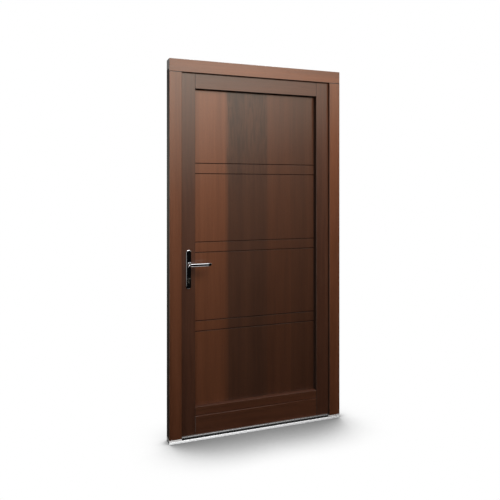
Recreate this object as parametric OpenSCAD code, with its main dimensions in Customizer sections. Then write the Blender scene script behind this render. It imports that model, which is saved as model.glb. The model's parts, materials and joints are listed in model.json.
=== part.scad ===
/* [Frame] */
// Width of the frame over the outer faces of both jambs
frame_w = 1100; // [900:1:1320]
// Height of the frame from the underside of the threshold to the top of the head
frame_h = 2200; // [1830:1:2640]
// Depth of the frame from its outer face to its inner face
frame_d = 70; // [66:1:92]
// Width of the jambs and the head as seen from outside
face_w = 73; // [66:1:90]
// Width of the lip that covers the edge of the leaf from outside
lip_w = 16; // [14:1:20]
// Thickness of that lip
lip_t = 15; // [12:1:20]

/* [Threshold] */
// Height of the aluminium threshold
threshold_h = 13; // [10:1:16]
// Wall of the aluminium threshold
threshold_wall = 3; // [2:0.5:4]
// Height of the jambs' feet above the underside of the threshold
foot_z = 23; // [20:1:28]
// Gap between the top of the threshold and the timber of the leaf
floor_gap = 15; // [14:1:22]
// Height of the drip rail under the leaf
drip_h = 7; // [6:0.5:9]
// How far the drip rail stands out from the face of the leaf
drip_nose = 8; // [5:0.5:10]

/* [Leaf] */
// Gap between the leaf and the rebate of the frame
leaf_gap = 4; // [3.5:0.5:6]
// Gap between the lip and the outer face of the leaf
seal_gap = 3; // [2.5:0.5:5]
// Width of the wing that overlaps the inner face of the frame
wing_w = 15; // [13:1:18]
// Thickness of that wing
wing_t = 17; // [14:1:22]
// Width of a stile from the lever's axis to its inner edge
stile_room = 40.5; // [37:0.5:75]
// Height of the top rail, without its wing
top_rail_h = 100; // [80:1:160]
// Height of the bottom rail
bottom_rail_h = 159; // [120:1:260]
// Length of the tenons on the rails
tenon_l = 50; // [30:1:60]

/* [Panel] */
// Depth from the outer face of the leaf to the outer face of the panel
recess_d = 32; // [26:1:34]
// Width of the stop that the panel lies against
stop_w = 15; // [12:1:18]
// Thickness of the outer board
outer_board_t = 10; // [8:1:12]
// Thickness of the inner board
inner_board_t = 8; // [6:1:9]
// Thickness of the beads that hold the panel from inside
bead_t = 12; // [10:1:13]
// Number of groove pairs across the outer board
groove_pairs = 3; // [1:1:5]
// Distance between the two grooves of a pair
pair_gap = 61; // [40:1:90]
// Width of a groove
groove_w = 4.5; // [3:0.5:8]
// Depth of a groove
groove_d = 4; // [2:0.5:6]

/* [Lock] */
// Height of the lever's axis above the underside of the threshold
lever_z = 1018; // [950:1:1080]
// Distance from the edge of the leaf to the lever's axis
backset = 55; // [45:1:70]
// Distance from the lever's axis down to the key cylinder's axis
cylinder_drop = 85; // [70:1:102]
// Travel of the latch bolt
latch_throw = 12; // [10:1:13]
// Travel of the dead bolt and of the pin bolts
bolt_throw = 20; // [14:1:20]
// Radius of the pin bolts
pin_bolt_r = 5; // [4:0.5:5]

/* [Handle] */
// Width of the back plates
plate_w = 31; // [28:1:34]
// How far the back plates run past their upper and lower screws
plate_end = 14; // [13:1:25]
// Thickness of the back plates
plate_t = 9; // [7:1:12]
// Radius of the corners of the back plates
plate_corner = 13; // [6:1:14]
// Distance from the lever's axis to the tip of the grip
lever_reach = 130; // [115:1:145]
// Distance from the face of the leaf to the front of the grip
lever_out = 55; // [52:1:65]
// Radius of the round grip
grip_r = 10; // [9:0.5:11]

/* [Hinges] */
// Height of a hinge
hinge_h = 100; // [80:1:130]
// Radius of the knuckles
knuckle_r = 8; // [7.5:0.5:8.5]
// Radius of the hinge pins
pin_r = 4; // [3:0.5:5]

/* [Hidden] */
$fn = 48;

// Colours, left plain here
wood = [0.33, 0.16, 0.10];
wood_dark = [0.27, 0.13, 0.08];
aluminium = [0.75, 0.76, 0.78];
steel = [0.62, 0.63, 0.65];
chrome = [0.86, 0.87, 0.88];
brass = [0.72, 0.60, 0.32];
rubber = [0.05, 0.05, 0.05];
plastic = [0.80, 0.80, 0.78];

// Clearances
run_clear = 0.05;      // radial, a shaft that turns or slides in a bore
slide_clear = 0.3;     // each side, a bolt in its window
seat_clear = 0.1;      // each side, a part let into timber
seal_clear = 0.3;      // a soft seal and what it closes on
wing_gap = 1;          // the wing and the inner face of the frame
panel_clear = 3;       // the panel's edge and the wall of its rebate
e = 1;                 // how far a cutter stands past what it cuts

// Places across the door, on its right half: the left half mirrors them
edge_x = frame_w / 2;              // outer face of the jamb
lip_x = edge_x - face_w;           // inner edge of the lip
rebate_x = lip_x + lip_w;          // rebate that the leaf closes into
leaf_x = rebate_x - leaf_gap;      // edge of the leaf
wing_x = leaf_x + wing_w;          // edge of its wing
stile_x = leaf_x - backset - stile_room;  // inner edge of the stile
panel_x = stile_x + stop_w;        // wall of the panel's rebate

// Places through the depth: y grows towards the inside of the house
out_y = -frame_d / 2;
in_y = frame_d / 2;
lip_y = out_y + lip_t;
leaf_y = lip_y + seal_gap;
wing_y = in_y + wing_gap;
back_y = wing_y + wing_t;
panel_y = leaf_y + recess_d;
core_y = panel_y + outer_board_t;
bead_y = back_y - bead_t;
inner_board_y = bead_y - inner_board_t;

// Heights
lip_z = frame_h - face_w;          // underside of the head
rebate_z = lip_z + lip_w;          // rebate of the head
leaf_z = threshold_h + floor_gap;  // underside of the timber leaf
leaf_top = rebate_z - leaf_gap;
wing_top = leaf_top + wing_w;
sill_z = leaf_z + bottom_rail_h;   // top ledge of the bottom rail
soffit_z = leaf_top - top_rail_h;  // underside of the top rail
panel_z0 = sill_z - stop_w;        // floor of the panel's rebate
panel_z1 = soffit_z + stop_w;      // ceiling of the panel's rebate
leaf_h = leaf_top - leaf_z;

// Frame fixings: two pairs of holes through each jamb, about the frame's mid height
fixing_r = 4;
fixing_y = in_y - 11;
fixing_spread = [0.82 * frame_h, 0.36 * frame_h];
fixing_z = [for (s = fixing_spread, k = [-1, 1]) frame_h / 2 + k * s / 2];

// Joinery of the rails and the beads
tenon_y = [leaf_y + 22, leaf_y + 40];
tenon_lower_z = [leaf_z + 20, panel_z0 - 15];
tenon_upper_z = [panel_z1 + 12, leaf_top - 18];
vee_z = leaf_z + 0.68 * bottom_rail_h;  // groove along the bottom rail
vee_half = 3;
bead_w = stop_w + 5;
bead_chamfer = [4, 5];

// Drip rail
drip_z = leaf_z - drip_h;            // underside of the drip rail
drip_wall = 1.5;
drip_seal_y = leaf_y + 3;
drip_end_gap = 1;                    // the rail and the edge of the leaf
drip_nose_gap = 2;                   // the rail's nose and the lip of a jamb

// Threshold: two fine grooves along its outer edge
grip_groove_y = [7, 10];
grip_groove_w = 1;
grip_groove_d = 0.8;

// Seals
frame_seal_x = rebate_x - lip_w / 2;
frame_seal_z = rebate_z - lip_w / 2;
leaf_seal_x = (rebate_x + wing_x) / 2;
leaf_seal_z = (rebate_z + wing_top) / 2;
seal_slot_w = 3;
seal_slot_d = 5;
seal_half = 3;
stem_short = 0.2;                    // a stem ends this far short of its slot's floor
bulb_in = 0.4;                       // how far the bulb of a frame seal draws in
lip_in = 0.6;                        // how far the lip of a leaf seal draws in

// Hinges
hinge_x = wing_x + knuckle_r + 1;
hinge_y = back_y - 2;
hinge_z = [for (k = [0.12, 0.5, 0.88]) leaf_z + k * leaf_h - hinge_h / 2];
knuckle_gap = 0.4;
knuckle_h = (hinge_h - 2 * knuckle_gap) / 3;
flap_t = 3;
hinge_screw_r = 2.2;
hinge_screw_l = 30;
hinge_screw_z = [for (k = [0.12, 0.37, 0.63, 0.88]) k * hinge_h];
frame_flap_x = [hinge_x - 4, edge_x - 4];
leaf_flap_x = [leaf_x - 22, wing_x - 2];
frame_screw_x = (hinge_x + knuckle_r + frame_flap_x[1]) / 2;
leaf_screw_x = leaf_flap_x[0] + 10;
pin_cap = 3;

// Lock, seen from the edge of the leaf: all of it lies about the plane y = lock_y
lock_x = leaf_x - backset;
lock_y = leaf_y + 23;
cylinder_z = lever_z - cylinder_drop;
latch_z = lever_z + 32;
latch_h = 30;
dead_z = cylinder_z + 28;
dead_h = 34;
face_t = 3;                          // faceplate
face_plate_w = 20;
case_x = leaf_x - face_t;            // front of the lock case
case_d = backset + 30;
case_t = 15;
case_wall = 1.5;
case_z = [cylinder_z - 60, latch_z + 53];
bolt_t = case_t - 2 * case_wall - 2 * slide_clear;
latch_l = 19;                        // from the edge of the leaf to the heel of each bolt
dead_l = 34;
pin_bolt_l = 34;
bolt_tail_half = 2;                  // half thickness of the tails of the latch and dead bolt
latch_tail_half = 4;                 // half height of the tail of the latch
latch_hook_t = 5;                    // hook that the hub's arm draws
latch_hook_drop = 16;
latch_nose = 3.5;                    // flat left at the nose of the latch
dead_tail_l = 38;
dead_tail_half = 6;
pin_z = [leaf_z + 0.13 * leaf_h, leaf_z + 0.82 * leaf_h];
face_past = 120;                     // how far the faceplate runs past each pin bolt
face_z = [pin_z[0] - face_past, pin_z[1] + face_past];

// Drive rods behind the faceplate and the pin bolts they work
rod_w = 10;
rod_t = 2.5;
rod_x = case_x - case_wall - 0.5;    // front of a rod
pin_case_d = 42;
pin_case_y = [lock_y - 7.5, lock_y + 9];
pin_case_below = 48;
pin_case_above = 30;
pin_case_z = [[pin_z[0] - pin_case_above, pin_z[0] + pin_case_below],
              [pin_z[1] - pin_case_below, pin_z[1] + pin_case_above]];
rod_gap = 0.5;                       // a rod and the walls of its groove
cross_r = 2;
cross_x = leaf_x - 29;               // cross pin of a drawn pin bolt
cross_clear = 0.2;                   // the cross pin in its slanting slot
ramp_y = [lock_y + pin_bolt_r + 0.3, lock_y + pin_bolt_r + 1.8];
ramp_lead = 4;                       // ramp plate past the cross pin, inwards and upwards
ramp_above = 5;
ramp_below = 6;
bracket_h = 5;
rod_past = 5;                        // gap from the latch to the upper rod
rod_below = 8;                       // from the cylinder screw to the lower rod
screw_slot_w = 5;

// Faceplate screws: at both ends and through slots in the rods
face_screw_r = 2;
face_screw_l = 25;
slot_past = 30;                      // a slot screw and the end of the lock case
slot_back = 120;                     // a slot screw and its pin bolt
face_end = 14;                       // the last screws and the ends of the faceplate
upper_slots = [case_z[1] + slot_past, pin_z[1] - slot_back];
lower_slots = [case_z[0] - slot_past, pin_z[0] + slot_back];
face_screw_z = concat([face_z[0] + face_end, face_z[1] - face_end], upper_slots, lower_slots);

// Strikes in the lock side jamb
strike_t = 3;
strike_w = 22;
strike_z = [dead_z - 35, latch_z + 38];
pin_strike_h = 60;
pocket_d = 24;
strike_screw_r = 2;
strike_screw_l = 28;
strike_hole_y = 8;                   // half width of the windows of the main strike
pocket_y = 9;                        // half width of the pockets behind them
window_room = 3;                     // above and below a bolt in its strike
pocket_room = 4;
strike_screw_z = [strike_z[0] + 8, strike_z[1] - 8];
pin_strike_screw = pin_strike_h / 2 - 8;

// Key cylinder
barrel_r = 8.5;
barrel_drop = 24.5;
barrel_stem_w = 10;
barrel_foot = barrel_drop - barrel_stem_w / 2;  // from the axis to the centre of the round foot
plug_r = 6.5;
plug_slot = 0.2;                     // the cam and the gap in the barrel
keyway_half = 1;
keyway_l = 24;
keyway_z = [cylinder_z - 4.5, cylinder_z + 4];
cam_w = 10;
cam_half = 3;
cam_r = 7.5;
cam_reach = 14.5;
cylinder_out = 2;                    // how far the cylinder stands past the plates
cylinder_y = [leaf_y - plate_t - cylinder_out, back_y + plate_t + cylinder_out];
bridge_z = cylinder_z - barrel_drop + 4.5;

// Handle
hub_r = 13;
hub_boss_r = 9.95;
hub_half = 5.5;                      // half thickness of the hub and of its arm
arm_half = 3;
arm_w = 8;
arm_top = 24;
hook_gap = 3.2;
spindle_w = 8;
spindle_in = 30;                     // reach of the spindle past each face of the leaf
neck_r = 9;
collar_r = 12.5;
elbow_r = 14;                        // bend from the neck to the grip
tip_bend_r = 28;                     // bend of the tip towards the door
tip_turn = 40;
tip_cap = 6;                         // length of the cone that ends the tip
tip_drop = 4;                        // how much smaller the cone ends than it starts
bend_extra = 0.2;                    // the bends are this much thicker than the bars
bar_lap = 1;                         // how far a bar runs into a bend
plate_bevel = 3;
plate_screw_r = 2.5;
plate_screw_z = [latch_z + latch_h / 2 + 23, cylinder_z - barrel_drop - 15.5];
plate_skin = 2;                      // metal left over the end of a plate screw's hole
plate_screw_l = back_y + plate_t - leaf_y + plate_t - plate_skin - 1;
plate_z = [plate_screw_z[1] - plate_end, plate_screw_z[0] + plate_end];

// ---------- Basic shapes ----------

// Box given by its two ends along x, y and z
module block(x, y, z) {
    translate([x[0], y[0], z[0]]) cube([x[1] - x[0], y[1] - y[0], z[1] - z[0]]);
}

// Round bars along each axis, from the first to the second end
module bar_x(x, y, z, r) {
    translate([x[0], y, z]) rotate([0, 90, 0]) cylinder(r = r, h = x[1] - x[0]);
}

module bar_y(x, y, z, r) {
    translate([x, y[0], z]) rotate([-90, 0, 0]) cylinder(r = r, h = y[1] - y[0]);
}

module bar_z(x, y, z, r) {
    translate([x, y, z[0]]) cylinder(r = r, h = z[1] - z[0]);
}

// Profile drawn in y and z, run from x[0] to x[1]
module run_x(x) {
    translate([x[0], 0, 0]) rotate([90, 0, 90]) linear_extrude(x[1] - x[0]) children();
}

// Profile drawn in x and z, run from y[0] to y[1]
module run_y(y) {
    translate([0, y[1], 0]) rotate([90, 0, 0]) linear_extrude(y[1] - y[0]) children();
}

// The lock is on the left: its parts are drawn on the right and mirrored
module lock_side() {
    mirror([1, 0, 0]) children();
}

// Countersunk screw with its head's face at z = 0, pointing down
module screw(r, l) {
    translate([0, 0, -l]) cylinder(r = r, h = l);
    translate([0, 0, -r]) cylinder(r1 = r, r2 = 2 * r, h = r);
}

// The same screw turned to point along -x or -y
module screw_x(x, y, z, r, l) {
    translate([x, y, z]) rotate([0, 90, 0]) screw(r, l);
}

module screw_y(x, y, z, r, l) {
    translate([x, y, z]) rotate([-90, 0, 0]) screw(r, l);
}

// ---------- Frame ----------

// Section of a jamb and of the block below it, between two heights of lip and of body
module jamb_section(z0, z_lip, z_body) {
    block([lip_x, edge_x], [out_y, lip_y], [z0, z_lip]);
    block([rebate_x, edge_x], [lip_y, in_y], [z0, z_body]);
}

// Slot for the seal, in the back of the lip
module frame_seal_slot_z(z) {
    block([frame_seal_x - seal_slot_w / 2, frame_seal_x + seal_slot_w / 2],
          [lip_y - seal_slot_d, lip_y + seal_gap], z);
}

// Jamb with its seal slot and its fixing holes
module jamb() {
    difference() {
        jamb_section(foot_z, lip_z, rebate_z);
        frame_seal_slot_z([foot_z - e, lip_z + e]);
        for (z = fixing_z) bar_x([rebate_x - e, edge_x + e], fixing_y, z, fixing_r);
    }
}

module frame_jamb_left() {
    color(wood) lock_side() difference() {
        jamb();
        block([rebate_x - e, rebate_x + strike_t], [lock_y - strike_w / 2, lock_y + strike_w / 2],
              strike_z);
        block([rebate_x, rebate_x + pocket_d], [lock_y - pocket_y, lock_y + pocket_y],
              [latch_z - latch_h / 2 - pocket_room, latch_z + latch_h / 2 + pocket_room]);
        block([rebate_x, rebate_x + pocket_d], [lock_y - pocket_y, lock_y + pocket_y],
              [dead_z - dead_h / 2 - pocket_room, dead_z + dead_h / 2 + pocket_room]);
        for (z = pin_z) {
            block([rebate_x - e, rebate_x + strike_t],
                  [lock_y - strike_w / 2, lock_y + strike_w / 2],
                  [z - pin_strike_h / 2, z + pin_strike_h / 2]);
            bar_x([rebate_x, rebate_x + pocket_d], lock_y, z, pin_bolt_r + 3);
        }
        strike_screw_set(seat_clear);
    }
}

module frame_jamb_right() {
    color(wood) difference() {
        jamb();
        for (z = hinge_z, s = hinge_screw_z)
            bar_y(frame_screw_x, [in_y + flap_t - hinge_screw_l - seat_clear, in_y + e], z + s,
                  hinge_screw_r + seat_clear);
    }
}

module frame_head() {
    color(wood) difference() {
        union() {
            block([-edge_x, edge_x], [out_y, lip_y], [lip_z, frame_h]);
            block([-edge_x, edge_x], [lip_y, in_y], [rebate_z, frame_h]);
        }
        block([-frame_seal_x, frame_seal_x], [lip_y - seal_slot_d, lip_y + seal_gap],
              [frame_seal_z - seal_slot_w / 2, frame_seal_z + seal_slot_w / 2]);
        for (m = [0, 1]) mirror([m, 0, 0])
            frame_seal_slot_z([lip_z - e, frame_seal_z + seal_slot_w / 2]);
    }
}

// ---------- Threshold ----------

module threshold() {
    nose_r = threshold_wall + 1;
    nose = [for (a = [0:15:90])
        [out_y + nose_r * (1 - cos(a)), threshold_h - nose_r * (1 - sin(a))]];
    color(aluminium) difference() {
        run_x([-edge_x, edge_x]) polygon(concat(
            [[out_y, 0]], nose,
            [[in_y, threshold_h], [in_y, 0], [in_y - threshold_wall, 0],
             [in_y - threshold_wall, threshold_h - threshold_wall],
             [out_y + threshold_wall, threshold_h - threshold_wall], [out_y + threshold_wall, 0]]));
        for (y = grip_groove_y)
            block([-lip_x, lip_x], [out_y + y, out_y + y + grip_groove_w],
                  [threshold_h - grip_groove_d, threshold_h + e]);
    }
}

module threshold_core() {
    color(rubber) block([-edge_x, edge_x], [out_y + threshold_wall, in_y - threshold_wall],
                        [0, threshold_h - threshold_wall]);
}

// Block that carries a jamb on the threshold
module end_block() {
    color(plastic) jamb_section(threshold_h, foot_z, foot_z);
}

// ---------- Seals ----------

// Section of the seal in the frame: a stem in the slot and a bulb towards the leaf
module frame_seal_section() {
    stem = seal_slot_w / 2 - seat_clear;
    top = seal_gap - seal_clear;
    foot = stem_short - seal_slot_d;
    polygon([[-stem, foot], [stem, foot], [stem, 0], [seal_half, 0],
             [seal_half - bulb_in, top * 0.7], [seal_half / 3, top], [-seal_half / 3, top],
             [bulb_in - seal_half, top * 0.7], [-seal_half, 0], [-stem, 0]]);
}

// Section of the seal in the wing: a stem and a low lip towards the frame
module leaf_seal_section() {
    stem = seal_slot_w / 2 - seat_clear;
    low = seal_clear - wing_gap;
    foot = seal_slot_d - stem_short;
    polygon([[-stem, 0], [-seal_half, 0], [lip_in - seal_half, low], [seal_half - lip_in, low],
             [seal_half, 0], [stem, 0], [stem, foot], [-stem, foot]]);
}

module frame_seal_side() {
    color(rubber) translate([frame_seal_x, lip_y, foot_z])
        linear_extrude(frame_seal_z - seal_half - foot_z) frame_seal_section();
}

module frame_seal_head() {
    color(rubber) translate([-frame_seal_x, lip_y, frame_seal_z])
        rotate([0, 90, 0]) linear_extrude(2 * frame_seal_x) frame_seal_section();
}

module leaf_seal_side() {
    color(rubber) translate([leaf_seal_x, wing_y, leaf_z])
        linear_extrude(leaf_seal_z - seal_half - leaf_z) leaf_seal_section();
}

module leaf_seal_top() {
    color(rubber) translate([-leaf_seal_x, wing_y, leaf_seal_z])
        rotate([0, 90, 0]) linear_extrude(2 * leaf_seal_x) leaf_seal_section();
}

// Slots for the leaf's seals, up both side wings and along the top wing
module leaf_seal_slots() {
    for (m = [0, 1]) mirror([m, 0, 0])
        block([leaf_seal_x - seal_slot_w / 2, leaf_seal_x + seal_slot_w / 2],
              [wing_y - e, wing_y + seal_slot_d], [leaf_z - e, leaf_seal_z + seal_slot_w / 2]);
    block([-leaf_seal_x, leaf_seal_x], [wing_y - e, wing_y + seal_slot_d],
          [leaf_seal_z - seal_slot_w / 2, leaf_seal_z + seal_slot_w / 2]);
}

// ---------- Leaf timber ----------

// Rebate that holds the panel, open towards the inside
module panel_rebate() {
    block([-panel_x, panel_x], [panel_y, back_y + e], [panel_z0, panel_z1]);
}

// Tenons of both rails: they fill the mortises of the stiles
module tenons() {
    for (m = [0, 1], z = [tenon_lower_z, tenon_upper_z])
        mirror([m, 0, 0]) block([stile_x, stile_x + tenon_l], tenon_y, z);
}

// Stile with its wing, its panel rebate, its mortises and its seal slot
module stile() {
    difference() {
        union() {
            block([stile_x, leaf_x], [leaf_y, wing_y], [leaf_z, leaf_top]);
            block([stile_x, wing_x], [wing_y, back_y], [leaf_z, wing_top]);
        }
        panel_rebate();
        tenons();
        leaf_seal_slots();
    }
}

module hinge_stile() {
    color(wood) difference() {
        stile();
        for (z = hinge_z, s = hinge_screw_z)
            bar_y(leaf_screw_x, [back_y + flap_t - hinge_screw_l - seat_clear, back_y + e], z + s,
                  hinge_screw_r + seat_clear);
    }
}

module lock_stile() {
    color(wood) lock_side() difference() {
        stile();
        // seat of the faceplate and the groove for the drive rods
        block([case_x, leaf_x + e], [lock_y - face_plate_w / 2, lock_y + face_plate_w / 2],
              [face_z[0], face_z[1]]);
        block([rod_x - rod_t - rod_gap, leaf_x],
              [lock_y - rod_w / 2 - rod_gap, lock_y + rod_w / 2 + rod_gap],
              [pin_z[0], pin_z[1]]);
        // mortises of the lock case and of the two pin bolt cases
        block([case_x - case_d - seat_clear, case_x + e],
              [lock_y - case_t / 2 - seat_clear, lock_y + case_t / 2 + seat_clear],
              [case_z[0] - seat_clear, case_z[1] + seat_clear]);
        pin_case_blank(0, seat_clear);
        pin_case_blank(1, seat_clear);
        // holes through both faces: spindle, key cylinder and plate screws
        bar_y(lock_x, [leaf_y - e, back_y + e], lever_z, neck_r + 3);
        run_y([leaf_y - e, back_y + e]) barrel_outline(1);
        for (z = plate_screw_z) bar_y(lock_x, [leaf_y - e, back_y + e], z, plate_screw_r + 1);
        for (z = face_screw_z)
            bar_x([leaf_x - face_screw_l - seat_clear, leaf_x], lock_y, z,
                  face_screw_r + seat_clear);
    }
}

module top_rail() {
    color(wood) difference() {
        union() {
            block([-stile_x, stile_x], [leaf_y, back_y], [soffit_z, leaf_top]);
            block([-stile_x, stile_x], [wing_y, back_y], [leaf_top, wing_top]);
            intersection() {
                tenons();
                block([-edge_x, edge_x], [leaf_y, back_y], [panel_z1, leaf_top]);
            }
        }
        panel_rebate();
        leaf_seal_slots();
    }
}

module bottom_rail() {
    color(wood) difference() {
        union() {
            block([-stile_x, stile_x], [leaf_y, back_y], [leaf_z, sill_z]);
            intersection() {
                tenons();
                block([-edge_x, edge_x], [leaf_y, back_y], [leaf_z, panel_z0]);
            }
        }
        panel_rebate();
        run_x([-stile_x, stile_x])
            polygon([[leaf_y - e, vee_z - vee_half - e], [leaf_y + vee_half, vee_z],
                     [leaf_y - e, vee_z + vee_half + e]]);
    }
}

// ---------- Panel ----------

// One layer of the panel between two depths
module panel_layer(y) {
    block([panel_clear - panel_x, panel_x - panel_clear], y,
          [panel_z0 + panel_clear, panel_z1 - panel_clear]);
}

module panel_outer_board() {
    pitch = (soffit_z - sill_z) / (groove_pairs + 1);
    color(wood_dark) difference() {
        panel_layer([panel_y, core_y]);
        for (i = [1:groove_pairs], k = [-1, 1]) {
            z = sill_z + i * pitch + k * pair_gap / 2;
            block([-panel_x, panel_x], [panel_y - e, panel_y + groove_d],
                  [z - groove_w / 2, z + groove_w / 2]);
        }
    }
}

module panel_core() {
    color(plastic) panel_layer([core_y, inner_board_y]);
}

module panel_inner_board() {
    color(wood_dark) panel_layer([inner_board_y, bead_y]);
}

// Section of a bead: it runs from its free edge to the wall of the rebate
module bead_section() {
    polygon([[0, 0], [bead_w, 0], [bead_w, bead_t], [bead_chamfer[0], bead_t],
             [0, bead_t - bead_chamfer[1]]]);
}

module bead_side() {
    color(wood) translate([panel_x - bead_w, bead_y, panel_z0 + bead_w])
        linear_extrude(panel_z1 - panel_z0 - 2 * bead_w) bead_section();
}

// The long beads run over the ends of the upright ones
module bead_top() {
    color(wood) translate([-panel_x, bead_y, panel_z1 - bead_w])
        rotate([0, -90, 0]) mirror([0, 0, 1]) linear_extrude(2 * panel_x) bead_section();
}

module bead_bottom() {
    color(wood) translate([-panel_x, bead_y, panel_z0 + bead_w])
        rotate([0, 90, 0]) linear_extrude(2 * panel_x) bead_section();
}

// ---------- Foot of the leaf ----------

// Hollow rail under the leaf. Its nose stands out between the jambs.
module drip_rail() {
    color(aluminium) difference() {
        union() {
            block([drip_end_gap - leaf_x, leaf_x - drip_end_gap], [leaf_y, back_y],
                  [drip_z, leaf_z]);
            run_x([drip_nose_gap - lip_x, lip_x - drip_nose_gap])
                polygon([[leaf_y, leaf_z], [leaf_y - drip_nose + 1, leaf_z - 1],
                         [leaf_y - drip_nose, leaf_z - 2], [leaf_y - drip_nose, drip_z],
                         [leaf_y, drip_z]]);
        }
        block([-leaf_x, leaf_x], [leaf_y + drip_wall, back_y - drip_wall],
              [drip_z + drip_wall, leaf_z - drip_wall]);
        block([-leaf_x, leaf_x], [drip_seal_y, drip_seal_y + seal_slot_w],
              [drip_z - e, leaf_z - drip_h / 2]);
    }
}

module bottom_seal() {
    stem = [drip_seal_y + seat_clear, drip_seal_y + seal_slot_w - seat_clear];
    run = [drip_end_gap - leaf_x, leaf_x - drip_end_gap];
    color(rubber) {
        block(run, stem, [drip_z, drip_z + drip_wall]);
        block(run, [stem[0] - seal_half, stem[1] + seal_half],
              [threshold_h + seal_clear, drip_z]);
    }
}

// ---------- Hinges ----------

// Flap screwed to the frame with the lower and upper knuckles
module hinge_frame_part(z) {
    color(steel) translate([0, 0, z]) difference() {
        union() {
            block(frame_flap_x, [in_y, in_y + flap_t], [0, hinge_h]);
            for (k = [0, 2]) translate([0, 0, k * (knuckle_h + knuckle_gap)]) {
                bar_z(hinge_x, hinge_y, [0, knuckle_h], knuckle_r);
                block([hinge_x, hinge_x + knuckle_r], [in_y, hinge_y], [0, knuckle_h]);
            }
        }
        bar_z(hinge_x, hinge_y, [-e, hinge_h + e], pin_r + run_clear);
        for (s = hinge_screw_z) translate([0, 0, s])
            screw_y(frame_screw_x, in_y + flap_t, 0, hinge_screw_r + seat_clear, hinge_screw_l);
    }
}

// Flap screwed to the leaf with the middle knuckle
module hinge_leaf_part(z) {
    mid = [knuckle_h + knuckle_gap, 2 * knuckle_h + knuckle_gap];
    color(steel) translate([0, 0, z]) difference() {
        union() {
            block(leaf_flap_x, [back_y, back_y + flap_t], [0, hinge_h]);
            block([leaf_flap_x[0], hinge_x], [back_y, back_y + flap_t], mid);
            bar_z(hinge_x, hinge_y, mid, knuckle_r);
        }
        bar_z(hinge_x, hinge_y, [-e, hinge_h + e], pin_r + run_clear);
        for (s = hinge_screw_z) translate([0, 0, s])
            screw_y(leaf_screw_x, back_y + flap_t, 0, hinge_screw_r + seat_clear, hinge_screw_l);
    }
}

// Pins with a low cap at each end
module hinge_pins() {
    color(steel) for (z = hinge_z) {
        bar_z(hinge_x, hinge_y, [z, z + hinge_h], pin_r);
        bar_z(hinge_x, hinge_y, [z - pin_cap, z], knuckle_r - 1);
        bar_z(hinge_x, hinge_y, [z + hinge_h, z + hinge_h + pin_cap], knuckle_r - 1);
    }
}

module hinge_frame_screws() {
    color(steel) for (z = hinge_z, s = hinge_screw_z)
        screw_y(frame_screw_x, in_y + flap_t, z + s, hinge_screw_r, hinge_screw_l);
}

module hinge_leaf_screws() {
    color(steel) for (z = hinge_z, s = hinge_screw_z)
        screw_y(leaf_screw_x, back_y + flap_t, z + s, hinge_screw_r, hinge_screw_l);
}

// ---------- Strikes ----------

// All strike screws, grown by the given clearance where they are cut out
module strike_screw_set(grow) {
    zs = concat(strike_screw_z, [for (z = pin_z, k = [-1, 1]) z + k * pin_strike_screw]);
    for (z = zs) mirror([1, 0, 0])
        screw_x(-rebate_x, lock_y, z, strike_screw_r + grow, strike_screw_l + grow);
}

module main_strike() {
    color(steel) lock_side() difference() {
        block([rebate_x, rebate_x + strike_t],
              [lock_y - strike_w / 2 + seat_clear, lock_y + strike_w / 2 - seat_clear],
              [strike_z[0] + seat_clear, strike_z[1] - seat_clear]);
        block([rebate_x - e, rebate_x + strike_t + e],
              [lock_y - strike_hole_y, lock_y + strike_hole_y],
              [latch_z - latch_h / 2 - window_room, latch_z + latch_h / 2 + window_room]);
        block([rebate_x - e, rebate_x + strike_t + e],
              [lock_y - strike_hole_y, lock_y + strike_hole_y],
              [dead_z - dead_h / 2 - window_room, dead_z + dead_h / 2 + window_room]);
        strike_screw_set(seat_clear);
    }
}

module pin_strikes() {
    color(steel) lock_side() difference() {
        for (z = pin_z)
            block([rebate_x, rebate_x + strike_t],
                  [lock_y - strike_w / 2 + seat_clear, lock_y + strike_w / 2 - seat_clear],
                  [z - pin_strike_h / 2 + seat_clear, z + pin_strike_h / 2 - seat_clear]);
        for (z = pin_z)
            bar_x([rebate_x - e, rebate_x + strike_t + e], lock_y, z, pin_bolt_r + 2);
        strike_screw_set(seat_clear);
    }
}

module strike_screws() {
    color(steel) lock_side() strike_screw_set(0);
}

// ---------- Lock ----------

module lock_faceplate() {
    color(steel) lock_side() difference() {
        block([case_x, leaf_x],
              [lock_y - face_plate_w / 2 + seat_clear, lock_y + face_plate_w / 2 - seat_clear],
              [face_z[0] + seat_clear, face_z[1] - seat_clear]);
        bolt_windows(case_x - e, leaf_x + e);
        for (z = pin_z)
            bar_x([case_x - e, leaf_x + e], lock_y, z, pin_bolt_r + run_clear);
        for (z = face_screw_z)
            screw_x(leaf_x, lock_y, z, face_screw_r + seat_clear, face_screw_l);
        bar_x([case_x - e, leaf_x + e], lock_y, bridge_z, plate_screw_r + seat_clear);
    }
}

// Windows that the latch and the dead bolt pass through
module bolt_windows(x0, x1) {
    half = bolt_t / 2 + slide_clear;
    block([x0, x1], [lock_y - half, lock_y + half],
          [latch_z - latch_h / 2 - slide_clear, latch_z + latch_h / 2 + slide_clear]);
    block([x0, x1], [lock_y - half, lock_y + half],
          [dead_z - dead_h / 2 - slide_clear, dead_z + dead_h / 2 + slide_clear]);
}

module faceplate_screws() {
    color(steel) lock_side() for (z = face_screw_z)
        screw_x(leaf_x, lock_y, z, face_screw_r, face_screw_l);
}

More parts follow.
